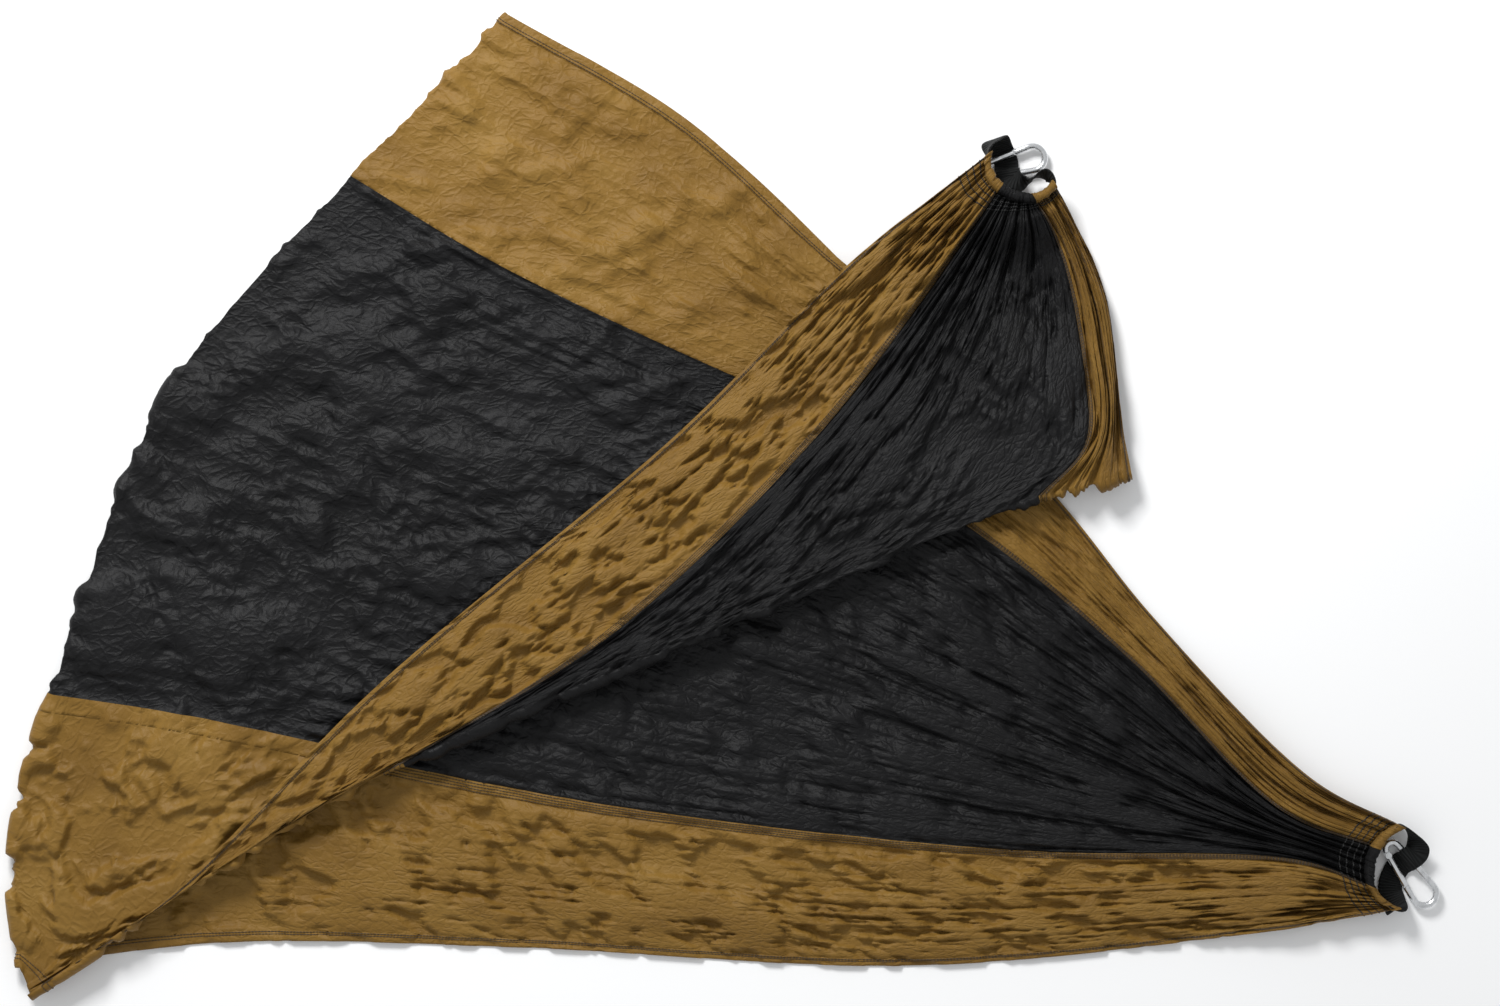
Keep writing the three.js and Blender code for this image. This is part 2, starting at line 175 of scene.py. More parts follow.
# Where the two hems and the two seams go between those lines, on the three legs.
LEG_LINES = (
    (
        [(590, -274), (432, -112), (343, -1), (126, 238), (-34, 384)],
        [(559, -305), (410, -156), (257, -29), (-60, 165)],
        [(577, -354), (300, -346), (-94, -303), (-400, -245)],
        [(566, -423), (200, -461), (-200, -443), (-494, -438)],
    ),
    (
        [(-34, 384), (126, 238), (290, 115)],
        [(-220, 238), (26, 122), (200, 50)],
        [(-521, -212)],
        [],
    ),
    (
        [(398, 96), (386, 205), (358, 274)],
        [(362, 60), (360, 154), (338, 255)],
        [(-103, -126), (95, 66), (200, 201)],
        [(-554, -396), (-344, -184), (-43, 69), (128, 238)],
    ),
)
LOW_HEM = ((126, 238), (343, -1))  # stands for the hem of the lowest layer
MID_HEM = ((126, 238), (412, 19))  # and this for the hem of the layer on it
RAMP = (52, 98)  # past such a hem, the stretch on which an upper layer comes down
HOOK_A_PLACE = (288, 332)
HOOK_A_REACH = (50, 95)  # the cloth comes down between these distances from hook A


def outward(fold, w, turn):
    """The level direction out of a fold, away from the cloth."""
    along = way_along(fold, w)
    return np.stack([turn * along[..., 1], -turn * along[..., 0]], -1)


def fold_line(fold, turn):
    """Where a leg ends at a fold and the round of the fold begins."""
    return lambda w: curve(fold, w) - FOLD_REACH * outward(fold, w, turn)


def end_line(points):
    return lambda w: curve(points, w)


LEG_ENDS = (
    (end_line(END_B), fold_line(MIDDLE_FOLD, 1)),
    (fold_line(MIDDLE_FOLD, 1), fold_line(DIAGONAL_FOLD, -1)),
    (fold_line(DIAGONAL_FOLD, -1), end_line(END_A)),
)


def past_line(line, x, y):
    """How far a point is to the left of a line, seen from its first end."""
    (x0, y0), (x1, y1) = line
    return ((y - y0) * (x1 - x0) - (x - x0) * (y1 - y0)) / math.hypot(x1 - x0, y1 - y0)


def over(hem, x, y):
    """1 over the layer that ends at this hem, falling to 0 past it."""
    return 1 - smooth(past_line(hem, x, y), *RAMP)


def lift(leg, x, y):
    """The height of a leg's underside: it lies on the layers below and on hook A."""
    if leg == 0:
        return np.zeros_like(x)
    low = LAYER_STEP * over(LOW_HEM, x, y)
    if leg == 1:
        return low
    from_hook = np.hypot(x - HOOK_A_PLACE[0], y - HOOK_A_PLACE[1])
    near_hook = 1 - smooth(from_hook, *HOOK_A_REACH)
    return np.maximum(low + LAYER_STEP * over(MID_HEM, x, y), HOOK_BUMP * near_hook)


def layer_depth(leg, f, w):
    """Deeper at the gathered ends, and where panel 1 lies bunched up with nothing on top of it."""
    bunched = BUNCHED_SHARE * (1 - smooth(w, 0.22, 0.38))
    gather = np.zeros_like(f)
    if leg == 0:
        gather = np.maximum(1 - smooth(f, 0, 0.2), bunched * (1 - smooth(f, 0.14, 0.27)))
    if leg == 2:
        gather = np.maximum(smooth(f, 0.75, 1), bunched * smooth(f, 0.03, 0.3))
    flat = mix(HEM_SHARE, 1, smooth(np.minimum(w, 1 - w), 0, 0.12))
    return mix(CLOTH_DEPTH * flat, GATHERED_DEPTH, gather)


def lay_leg(leg, f, w):
    """Middle, normal and depth of one leg at rows f and columns w."""
    start, end = LEG_ENDS[leg]
    corners = np.arange(4) / 3
    rails = []
    for k, inner in enumerate(LEG_LINES[leg]):
        first, last = start(corners[k : k + 1])[0], end(corners[k : k + 1])[0]
        rails.append(by_length([first, *inner, last], f))
    panel = np.minimum((w * 3).astype(int), 2)
    v = (w * 3 - panel)[None, :, None]
    rails = np.stack(rails, 1)
    place = rails[:, panel] * (1 - v) + rails[:, panel + 1] * v
    for line, share in ((start, (1 - f)[:, None, None]), (end, f[:, None, None])):
        bulge = line(w) - line(panel / 3) * (1 - v[0]) - line((panel + 1) / 3) * v[0]
        place = place + share * bulge[None]
    x, y = place[..., 0], place[..., 1]
    grid_f, grid_w = np.meshgrid(f, w, indexing="ij")
    thick = layer_depth(leg, grid_f, grid_w)
    middle = np.stack([x, y, lift(leg, x, y) + thick / 2], -1)
    normal = np.zeros_like(middle)
    normal[..., 2] = -1 if leg == 1 else 1
    return middle, normal, thick


def round_fold(last_row, fold, turn, w):
    """Rows that carry the last row of a leg round a fold."""
    middle, normal, thick = last_row
    out = np.pad(outward(fold, w, turn), ((0, 0), (0, 1)))
    rows = []
    for angle in np.linspace(0, math.pi, FOLD_ROWS + 2)[1:-1]:
        moved = middle + out * FOLD_RADIUS * math.sin(angle)
        moved[:, 2] += FOLD_RADIUS * (1 - math.cos(angle))
        rows.append((moved, normal * math.cos(angle) - turn * out * math.sin(angle), thick))
    return [np.stack(part) for part in zip(*rows)]


def channel_rows(line, height, inward):
    """Rows that go once round the sewn channel at an end, starting on its inner side."""
    rows = []
    for angle in np.linspace(0, 2 * math.pi, TUBE_ROWS):
        side = math.copysign(abs(math.cos(angle)) ** 0.6, math.cos(angle))
        rise = math.copysign(abs(math.sin(angle)) ** 0.6, math.sin(angle))
        middle = np.zeros((len(line), 3))
        middle[:, :2] = line + inward * CHANNEL_HALF_DEPTH * side
        middle[:, 2] = height + CHANNEL_HALF_HEIGHT * rise
        normal = np.zeros_like(middle)
        normal[:, :2] = inward * side
        normal[:, 2] = rise
        rows.append((middle, unit(normal), np.full(len(line), CHANNEL_CLOTH)))
    return [np.stack(part) for part in zip(*rows)]


def across_flat():
    """Columns from hem to hem: distance on the flat cloth, and w, which is a third per panel."""
    flat = [np.zeros(1)]
    w = [np.zeros(1)]
    edge = 0
    for panel, width in enumerate((SIDE_WIDTH, CENTRE_WIDTH, SIDE_WIDTH)):
        share = np.linspace(0, 1, width // COLUMN_STEP + 1)[1:]
        flat.append(edge + share * width)
        w.append((panel + share) / 3)
        edge += width
    return np.concatenate(flat), np.concatenate(w)


flat_across, columns_w = across_flat()
SEAM_1 = SIDE_WIDTH // COLUMN_STEP
SEAM_2 = SEAM_1 + CENTRE_WIDTH // COLUMN_STEP
LAST = len(columns_w) - 1


def lay_cloth():
    """The cloth's middle surface: places, normals towards its stitched face, and depths."""
    parts = []
    for leg in range(3):
        f = np.linspace(0, 1, LEG_ROWS[leg])
        # The legs stop just short of the two channels.
        if leg == 0:
            f = mix(0.0045, 1, f)
        if leg == 2:
            f = mix(0, 0.995, f)
        part = lay_leg(leg, f, columns_w)
        parts.append(part)
        last_row = [values[-1] for values in part]
        if leg == 0:
            parts.append(round_fold(last_row, MIDDLE_FOLD, 1, columns_w))
        if leg == 1:
            parts.append(round_fold(last_row, DIAGONAL_FOLD, -1, columns_w))
    line_b, line_a = curve(END_B, columns_w), curve(END_A, columns_w)
    inward_b = unit(parts[0][0][6, :, :2] - line_b)
    inward_a = unit(parts[-1][0][-7, :, :2] - line_a)
    tube_b = channel_rows(line_b, CHANNEL_B_HEIGHT, inward_b)
    tube_a = channel_rows(line_a, CHANNEL_A_HEIGHT, inward_a)
    parts.insert(0, [values[::-1] for values in tube_b])
    parts.append(tube_a)
    return [np.concatenate([part[k] for part in parts]) for k in range(3)]


# ---- Crinkles and pleats ----


def soft_noise(x, y, seed):
    """Smooth noise from -1 to 1 with bumps about one unit across."""
    table = np.random.default_rng(seed).uniform(-1, 1, (256, 256))
    i, j = np.floor(x).astype(int), np.floor(y).astype(int)
    a, b = x - i, y - j
    a, b = a * a * (3 - 2 * a), b * b * (3 - 2 * b)
    i0, i1, j0, j1 = i % 256, (i + 1) % 256, j % 256, (j + 1) % 256
    low = table[i0, j0] * (1 - a) + table[i1, j0] * a
    high = table[i0, j1] * (1 - a) + table[i1, j1] * a
    return low * (1 - b) + high * b


def puffed(x):
    """A wave between -1 and 1 with broad round crests and narrow valleys."""
    return 2 * np.abs(np.sin(math.pi * x)) ** 0.8 - 1


def crumple(along, across, size, seed, stretch):
    """Sharp ridges and valleys that cross at all angles, a little longer along the cloth."""
    x, y = along / (size * stretch), across / size
    x, y = x + 0.3 * soft_noise(x / 2, y / 2, seed), y + 0.3 * soft_noise(y / 2, x / 2, seed + 1)
    total = 0
    for k in range(6):
        angle = 0.3 + 0.55 * k
        across_ridge = x * math.cos(angle) + y * math.sin(angle)
        along_ridge = y * math.cos(angle) - x * math.sin(angle)
        ridge = np.abs(soft_noise(across_ridge, along_ridge / RIDGE_LENGTH, seed + 2 + k))
        total = total + (ridge if k % 2 else -ridge)
    return total


def pleat_wave(along, across, width, seed, gathered):
    """Long pleats of uneven width that run along the cloth, fade out and start again."""
    course = across + 0.55 * width * soft_noise(along / 420, across / (1.9 * width), seed)
    course = course + 0.22 * width * soft_noise(along / 110, across / (0.9 * width), seed + 1)
    strength = 0.72 + 0.6 * soft_noise(along / 330, across / (1.3 * width), seed + 2)
    strength = mix(np.clip(strength, 0.12, 1.2), 1.0 + 0.15 * strength, gathered)
    return puffed(course / width) * strength


def hidden_share(middle):
    """1 where another layer lies on this one, and its spare cloth is in fine tucks."""
    x, y = middle[..., 0], middle[..., 1]
    behind_fold = smooth(-past_line((DIAGONAL_FOLD[0], DIAGONAL_FOLD[-1]), x, y), 55, 95)
    upper_hem = LEG_LINES[2][3]
    under_hem = smooth(-past_line((upper_hem[0], upper_hem[-1]), x, y), 20, 60)
    first = TUBE_ROWS + LEG_ROWS[0]
    second = first + FOLD_ROWS + LEG_ROWS[1]
    hidden = np.zeros_like(x)
    hidden[TUBE_ROWS:first] = behind_fold[TUBE_ROWS:first]
    hidden[first:second] = (behind_fold * under_hem)[first:second]
    return hidden


def from_sewing(across):
    """Distance on the flat cloth from the middle of the nearest hem or seam."""
    return np.minimum.reduce([
        np.abs(across - SIDE_WIDTH + SEAM_WIDTH / 2),
        np.abs(across - SIDE_WIDTH - CENTRE_WIDTH - SEAM_WIDTH / 2),
        np.abs(across - HEM_WIDTH / 2),
        np.abs(CLOTH_WIDTH - HEM_WIDTH / 2 - across),
    ])


def pleats(along, across, spacing, limit, coarse):
    """Pleats in the spare width of the cloth: broad folds, usual pleats and small ones."""
    squeeze = 1 / np.clip(spacing, 0.02, 0.97)
    slack = spacing / 4 * np.sqrt(squeeze**2 - 1)
    gathered = 1 - smooth(spacing, 0.35, 0.95)
    waves = (
        (4.2 * PLEAT, 0.5 + 0.35 * coarse, 3),
        (1.15 * PLEAT, 0.7 - 0.3 * coarse, 6),
        (SMALL_PLEAT, 0.45 - 0.25 * coarse, 9),
    )
    moved = 0
    for width, share, seed in waves:
        height = np.minimum(width * slack, share * limit)
        moved = moved + pleat_wave(along, across, width, seed, gathered) * height
    return moved * mix(0.4, 1, gathered)


def crinkles(along, across, lying, coarse):
    """Creases of three sizes. The two smaller ones are stronger in panel 2, which is not coarse."""
    large = crumple(along, lying, 60, 21, 1.4)
    medium = crumple(along, (lying + across) / 2, 30, 31, 1.2)
    small = crumple(along, (lying + across) / 2, 13, 41, 1.2)
    loose = 2.3 - 1.6 * coarse
    return 6 * large + 7 * loose * medium + 3.4 * loose * small


def crease_cloth(middle, normal, depth):
    """Moves the cloth's points along their normals into pleats and crinkles."""
    step = np.linalg.norm(np.diff(middle, axis=0), axis=2)
    along = np.vstack([np.zeros(middle.shape[1]), np.cumsum(step, axis=0)])
    along *= FLAT_LENGTH / along[-1].mean()
    across = np.broadcast_to(flat_across, along.shape)
    laid = np.linalg.norm(np.gradient(middle, axis=1), axis=2)
    spacing = laid / np.gradient(flat_across)

    sewn = from_sewing(across)
    strip_room = 1.1 * (1 - smooth(sewn, SEAM_WIDTH / 2, SEAM_WIDTH))
    limit = np.maximum(depth / 2 - 0.3 - strip_room, 0.5)
    free = mix(0.7, 1, smooth(sewn, SEAM_WIDTH / 2, 2 * SEAM_WIDTH))
    coarse = 1 - smooth(across, SIDE_WIDTH + CENTRE_WIDTH, SIDE_WIDTH + CENTRE_WIDTH + 40)

    moved = pleats(along, across, spacing, limit, coarse)
    moved = moved + crinkles(along, across, np.cumsum(laid, axis=1), coarse) * free
    tucked = np.sin(2 * math.pi * across / HIDDEN_PLEAT + 2 * soft_noise(along / 90, across / 40, 51))
    moved = mix(moved, 1.5 * limit * tucked, 0.9 * hidden_share(middle))
    rows = np.arange(len(along))[:, None]
    from_end = np.minimum(rows, len(along) - 1 - rows) - TUBE_ROWS
    moved = moved * mix(0.3, 1, smooth(from_end, CHANNEL_SEAM_ROWS, 2.2 * CHANNEL_SEAM_ROWS))
    moved = limit * np.tanh(moved / limit)
    return middle + normal * moved[..., None], along


middle, normal, depth = lay_cloth()
cloth, flat_along = crease_cloth(middle, normal, depth)

# ---- Meshes ----


def hook_axes(x, y, degrees, flipped):
    """Columns u, v, w and the place of a hook: u from its narrow to its wide end, v to its spine."""
    angle = math.radians(degrees)
    u = np.array([math.cos(angle), math.sin(angle), 0])
    v = np.array([-u[1], u[0], 0]) * (-1 if flipped else 1)
    return np.stack([u, v, np.cross(u, v)], 1), np.array([x, y, HOOK_HEIGHT])


HOOKS = {"a": hook_axes(259.6, 330, 16, True), "b": hook_axes(671, -344, -54.5, False)}


def beside(side, along, out):
    """A hook's own point along its spine (side 1) or gate (side -1), and out from it."""
    x = along * math.cos(TAPER) - (NARROW_RADIUS + out) * math.sin(TAPER)
    y = side * (along * math.sin(TAPER) + (NARROW_RADIUS + out) * math.cos(TAPER))
    return np.array([x, y, 0.0])


def on_hook(letter, point):
    """A hook's own point as a place in the layout."""
    axes, place = HOOKS[letter]
    return point @ axes.T + place


def frame_shift():
    """The step from the layout to the row frame, found from where the CAD has a gate's pin."""
    low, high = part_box("hook_b_pin")
    centre = (np.array(low) + np.array(high)) * 500  # half the sum, in millimetres
    return centre - on_hook("b", beside(-1, 4, 0))


shift = frame_shift()


def grid_object(name, points, closed=False, looped=False, coordinates=None):
    """A smooth mesh through rows of points. closed joins the last column to the first, and
    looped the last row to the first. coordinates are two numbers for each point."""
    rows, columns = points.shape[:2]
    index = np.arange(rows * columns).reshape(rows, columns)
    if closed:
        index = np.hstack([index, index[:, :1]])
    if looped:
        index = np.vstack([index, index[:1]])
    corners = (index[:-1, :-1], index[1:, :-1], index[1:, 1:], index[:-1, 1:])
    quads = np.stack(corners, -1).reshape(-1, 4)
    mesh = bpy.data.meshes.new(name)
    mesh.vertices.add(rows * columns)
    mesh.vertices.foreach_set("co", ((points + shift) / 1000).astype(np.float32).ravel())
    mesh.loops.add(quads.size)
    mesh.loops.foreach_set("vertex_index", quads.astype(np.int32).ravel())
    mesh.polygons.add(len(quads))
    mesh.polygons.foreach_set("loop_start", np.arange(0, quads.size, 4, dtype=np.int32))
    mesh.polygons.foreach_set("use_smooth", np.ones(len(quads), bool))
    mesh.update(calc_edges=True)
    if coordinates is not None:
        pairs = np.zeros((rows * columns, 3), np.float32)
        pairs[:, :2] = np.reshape(coordinates, (-1, 2)) / 1000
        attribute = mesh.attributes.new("cloth", "FLOAT_VECTOR", "POINT")
        attribute.data.foreach_set("vector", pairs.ravel())
    piece = bpy.data.objects.new(name, mesh)
    bpy.context.scene.collection.objects.link(piece)
    return piece


def finished(piece, body, material, slot_name, *nodes):
    """Gives a piece its material and body, and hides the CAD nodes that it replaces."""
    piece.data.materials.append(material)
    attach(piece, body)
    if nodes:
        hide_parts(*nodes)
    return piece


# ---- Materials ----


class Nodes:
    """Adds nodes to a new material and joins them."""

    def __init__(self, name):
        self.material = bpy.data.materials.new(name)
        self.material.use_nodes = True
        self.tree = self.material.node_tree
        self.shader = self.tree.nodes["Principled BSDF"]

    def add(self, kind, **values):
        node = self.tree.nodes.new(kind)
        for key, value in values.items():
            if hasattr(node, key):
                setattr(node, key, value)
            else:
                node.inputs[key.replace("_", " ")].default_value = value
        return node

    def join(self, output, target):
        self.tree.links.new(output, target)

    def ramp(self, source, stops):
        node = self.add("ShaderNodeValToRGB")
        while len(node.color_ramp.elements) < len(stops):
            node.color_ramp.elements.new(0.5)
        for element, (place, colour) in zip(node.color_ramp.elements, stops):
            element.position = place
            element.color = (*colour, 1)
        self.join(source, node.inputs["Fac"])
        return node.outputs["Color"]

    def bump(self, height, distance, strength, under=None):
        node = self.add("ShaderNodeBump", Distance=distance, Strength=strength)
        self.join(height, node.inputs["Height"])
        if under is not None:
            self.join(under, node.inputs["Normal"])
        return node.outputs["Normal"]

    def math(self, operation, a, b=0.0):
        node = self.add("ShaderNodeMath", operation=operation)
        for socket, value in zip(node.inputs, (a, b)):
            if isinstance(value, float):
                socket.default_value = value
            else:
                self.join(value, socket)
        return node.outputs[0]


def nylon(name, dark, usual, light, sheen):
    """Crinkled parachute nylon: fine creases and weave, and a colour that varies a little."""
    n = Nodes(name)
    place = n.add("ShaderNodeAttribute", attribute_name="cloth").outputs["Vector"]
    cloudy = n.add("ShaderNodeTexNoise", Scale=9.0, Detail=5.0, Roughness=0.6)
    n.join(place, cloudy.inputs["Vector"])
    colour = n.ramp(cloudy.outputs["Fac"], [(0.32, dark), (0.5, usual), (0.72, light)])
    n.join(colour, n.shader.inputs["Base Color"])

    warp = n.add("ShaderNodeTexNoise", Scale=28.0, Detail=2.0)
    n.join(place, warp.inputs["Vector"])
    spread = n.add("ShaderNodeVectorMath", operation="SCALE")
    spread.inputs["Scale"].default_value = 0.03
    n.join(warp.outputs["Color"], spread.inputs[0])
    moved = n.add("ShaderNodeVectorMath", operation="ADD")
    n.join(place, moved.inputs[0])
    n.join(spread.outputs[0], moved.inputs[1])
    creases = n.add("ShaderNodeTexVoronoi", feature="DISTANCE_TO_EDGE", Scale=85.0)
    n.join(moved.outputs[0], creases.inputs["Vector"])
    edge = n.math("MINIMUM", creases.outputs["Distance"], 0.25)
    ruffle = n.add("ShaderNodeTexNoise", Scale=150.0, Detail=4.0, Roughness=0.65)
    n.join(place, ruffle.inputs["Vector"])
    weave = n.add("ShaderNodeTexChecker", Scale=2600.0)
    n.join(place, weave.inputs["Vector"])

    folded = n.bump(edge, 0.004, 0.55)
    rough = n.bump(ruffle.outputs["Fac"], 0.0022, 0.5, folded)
    woven = n.bump(weave.outputs["Fac"], 0.0001, 0.25, rough)
    n.join(woven, n.shader.inputs["Normal"])
    n.shader.inputs["Roughness"].default_value = 0.5
    n.shader.inputs["Specular IOR Level"].default_value = 0.2
    n.shader.inputs["Sheen Weight"].default_value = sheen
    n.shader.inputs["Sheen Roughness"].default_value = 0.45
    return n.material


def thread(name, colour, light):
    """Twisted sewing thread."""
    n = Nodes(name)
    place = n.add("ShaderNodeTexCoord").outputs["Object"]
    twist = n.add("ShaderNodeTexNoise", Scale=900.0, Detail=2.0)
    n.join(place, twist.inputs["Vector"])
    n.join(n.ramp(twist.outputs["Fac"], [(0.35, colour), (0.7, light)]), n.shader.inputs["Base Color"])
    n.join(n.bump(twist.outputs["Fac"], 0.0003, 0.6), n.shader.inputs["Normal"])
    n.shader.inputs["Roughness"].default_value = 0.6
    return n.material


def webbing_material():
    """Black woven tape with ribs across it, painted darker in the grooves between them, and a
    herringbone of fine yarn.
    """
    n = Nodes("black webbing")
    place = n.add("ShaderNodeAttribute", attribute_name="cloth").outputs["Vector"]
    ribs = n.add("ShaderNodeTexWave", wave_type="BANDS", bands_direction="X", Scale=120.0)
    ribs.inputs["Distortion"].default_value = 0.4
    n.join(place, ribs.inputs["Vector"])
    yarns = n.add("ShaderNodeTexWave", wave_type="BANDS", bands_direction="Y", Scale=260.0)
    yarns.inputs["Distortion"].default_value = 1.2
    n.join(place, yarns.inputs["Vector"])
    fluff = n.add("ShaderNodeTexNoise", Scale=700.0, Detail=3.0)
    n.join(place, fluff.inputs["Vector"])
    # Painted shade: the colour follows the ribs' bump, darker in the grooves between ribs and lighter
    # on their crests.
    colour = n.ramp(ribs.outputs["Fac"], [(0.2, (0.002, 0.0022, 0.0022)), (0.8, (0.008, 0.009, 0.009))])
    n.join(colour, n.shader.inputs["Base Color"])
    ribbed = n.bump(ribs.outputs["Fac"], 0.0007, 0.9)
    woven = n.bump(yarns.outputs["Fac"], 0.0003, 0.6, ribbed)
    n.join(n.bump(fluff.outputs["Fac"], 0.0002, 0.3, woven), n.shader.inputs["Normal"])
    n.shader.inputs["Roughness"].default_value = 0.7
    n.shader.inputs["Specular IOR Level"].default_value = 0.2
    n.shader.inputs["Sheen Weight"].default_value = 0.02
    return n.material


def steel_material():
    """Bright zinc-plated wire with fine draw marks and a few dull spots."""
    n = Nodes("plated steel")
    place = n.add("ShaderNodeTexCoord").outputs["Object"]
    spots = n.add("ShaderNodeTexNoise", Scale=160.0, Detail=5.0, Roughness=0.6)
    n.join(place, spots.inputs["Vector"])
    marks = n.add("ShaderNodeTexNoise", Scale=1400.0, Detail=2.0)
    n.join(place, marks.inputs["Vector"])
    colour = n.ramp(spots.outputs["Fac"], [(0.3, (0.6, 0.61, 0.62)), (0.65, (0.82, 0.83, 0.84))])
    n.join(colour, n.shader.inputs["Base Color"])
    dull = n.ramp(spots.outputs["Fac"], [(0.3, (0.34, 0.34, 0.34)), (0.65, (0.16, 0.16, 0.16))])
    n.join(dull, n.shader.inputs["Roughness"])
    n.join(n.bump(marks.outputs["Fac"], 0.0001, 0.2), n.shader.inputs["Normal"])
    n.shader.inputs["Metallic"].default_value = 1
    return n.material


tan = nylon("tan nylon", (0.155, 0.08, 0.0125), (0.2, 0.107, 0.0185), (0.235, 0.132, 0.026), 0.03)
black = nylon(
    "black nylon", (0.0032, 0.0031, 0.0034), (0.0048, 0.0047, 0.0051), (0.0068, 0.0067, 0.0072), 0.01
)
brown_thread = thread("brown thread", (0.03, 0.018, 0.008), (0.07, 0.042, 0.017))
black_thread = thread("black thread", (0.008, 0.008, 0.008), (0.02, 0.02, 0.02))
webbing = webbing_material()
steel = steel_material()

# ---- Cloth panels, hems and seams ----

PANELS = (
    ("side_panel_1", 0, SEAM_1, tan, "tan_nylon"),
    ("centre_panel", SEAM_1, SEAM_2, black, "black_nylon"),
    ("side_panel_2", SEAM_2, LAST, tan, "tan_nylon"),
)
on_cloth = np.stack([flat_along, np.broadcast_to(flat_across, flat_along.shape)], -1)
for node, first, last, material, slot_name in PANELS:
    part = slice(first, last + 1)
    piece = grid_object(f"{node}_cloth", cloth[:, part], coordinates=on_cloth[:, part])
    finished(piece, "hammock", material, slot_name, node)


def strip(name, first, last, above, below):
    """A sewn strip over some of the cloth's columns, closed all round."""
    part = slice(first, last + 1)
    count = last - first + 1
    crown = np.sin(np.linspace(0, math.pi, count))[None, :, None] ** 0.3
    top = cloth[:, part] + normal[:, part] * above * crown
    bottom = cloth[:, part] - normal[:, part] * below * crown
    ring = np.concatenate([top, bottom[:, ::-1]], 1)
    places = np.concatenate([on_cloth[:, part], on_cloth[:, part][:, ::-1]], 1)
    piece = grid_object(name, ring, closed=True, coordinates=places)
    return finished(piece, "hammock", tan, "tan_nylon")


hem_columns = HEM_WIDTH // COLUMN_STEP
seam_columns = SEAM_WIDTH // COLUMN_STEP
hem_1 = strip("side_panel_1_hem", 0, hem_columns, STRIP_RISE, STRIP_RISE)
hem_2 = strip("side_panel_2_hem", LAST - hem_columns, LAST, STRIP_RISE, STRIP_RISE)
seam_1 = strip("seam_1_fell", SEAM_1 - seam_columns, SEAM_1, 0.7, 0.1)
seam_2 = strip("seam_2_fell", SEAM_2, SEAM_2 + seam_columns, 0.7, 0.1)

# ---- Stitching ----


def tube(path, radius, sides):
    """Rings of points round a path, with a radius for each point of it."""
    ahead = unit(np.gradient(path, axis=0))
    across = unit(np.cross(ahead, np.array([0.05, 0.03, 1.0])))
    rise = np.cross(across, ahead)
    angle = np.arange(sides) * 2 * math.pi / sides
    ring = across[:, None] * np.cos(angle)[None, :, None] + rise[:, None] * np.sin(angle)[None, :, None]
    return path[:, None] + ring * np.asarray(radius).reshape(-1, 1, 1)


def stitch_line(path, thick):
    """A row of stitches along a path: a thread that dips into the cloth between stitches."""
    steps = np.linalg.norm(np.diff(path, axis=0), axis=1)
    length = np.concatenate([[0], np.cumsum(steps)])
    count = int(length[-1] / STITCH) * 3
    place = np.linspace(0, length[-1], count)
    path = np.stack([np.interp(place, length, path[:, k]) for k in range(3)], 1)
    radius = np.where(np.arange(count) % 3 == 0, 0.25, 1.0) * thick
    return tube(path, radius, 4)


def along_row(flat_place, side, height):
    """A path the length of the cloth at one distance across it, on one face."""
    column = np.interp(flat_place, flat_across, np.arange(LAST + 1))
    first = min(int(column), LAST - 1)
    share = column - first
    rows = slice(TUBE_ROWS, len(cloth) - TUBE_ROWS)
    place = mix(cloth[rows, first], cloth[rows, first + 1], share)
    return place + side * height * mix(normal[rows, first], normal[rows, first + 1], share)


def across_row(row, columns, height):
    """A path across the gathered cloth beside a channel."""
    return cloth[row, columns] + normal[row, columns] * height


def stitch_object(name, paths, material, thick=THREAD_RADIUS):
    """One piece for several rows of stitches."""
    rows = []
    for k, path in enumerate(paths):
        rows.append(grid_object(f"{name}_{k}", stitch_line(path, thick), closed=True))
    with bpy.context.temp_override(
        active_object=rows[0], selected_editable_objects=rows, selected_objects=rows
    ):
        bpy.ops.object.join()
    rows[0].name = name
    return finished(rows[0], "hammock", material, "thread")


# Rows of stitches, by their distance from the edge of the hem or seam.
hem_rows = (11.5, 15.5)
seam_rows = (2.5, 6, 9.5, 13)
hem_1_rows = [along_row(d, side, 1.05) for d in hem_rows for side in (1, -1)]
hem_2_rows = [along_row(CLOTH_WIDTH - d, side, 1.05) for d in hem_rows for side in (1, -1)]
hem_1_stitches = stitch_object("side_panel_1_hem_stitches", hem_1_rows, brown_thread)
hem_2_stitches = stitch_object("side_panel_2_hem_stitches", hem_2_rows, brown_thread)
seam_1_rows = [along_row(SIDE_WIDTH - d, 1, 0.95) for d in seam_rows]
seam_2_rows = [along_row(SIDE_WIDTH + CENTRE_WIDTH + d, 1, 0.95) for d in seam_rows]
seam_1_stitches = stitch_object("seam_1_stitches", seam_1_rows, brown_thread)
seam_2_stitches = stitch_object("seam_2_stitches", seam_2_rows, brown_thread)

for letter, first_row, direction in (("b", TUBE_ROWS, 1), ("a", len(cloth) - TUBE_ROWS - 1, -1)):
    paths = []
    for k in range(4):
        paths.append(across_row(first_row + direction * (1 + 2 * k), slice(0, LAST + 1), 0.5))
    name = f"channel_{letter}_stitches"
    stitch_object(name, paths, black_thread, 1.6 * THREAD_RADIUS)

# ---- Webbing loops ----


def stand(line, t, height):
    """Where the webbing stands on edge inside a channel, and the direction across it."""
    x, y = curve(line, t)
    return (x, y, height), (0, 0, 1)


def by_hook(letter, along, out, height, width=None):
    """Where the webbing lies beside a hook's spine, and the direction across it."""
    x, y, _ = on_hook(letter, beside(1, along, out))
    if width is None:
        axes, _ = HOOKS[letter]
        width = axes @ (beside(1, 1, 0) - beside(1, 0, 0))
    return (x, y, height), tuple(width)


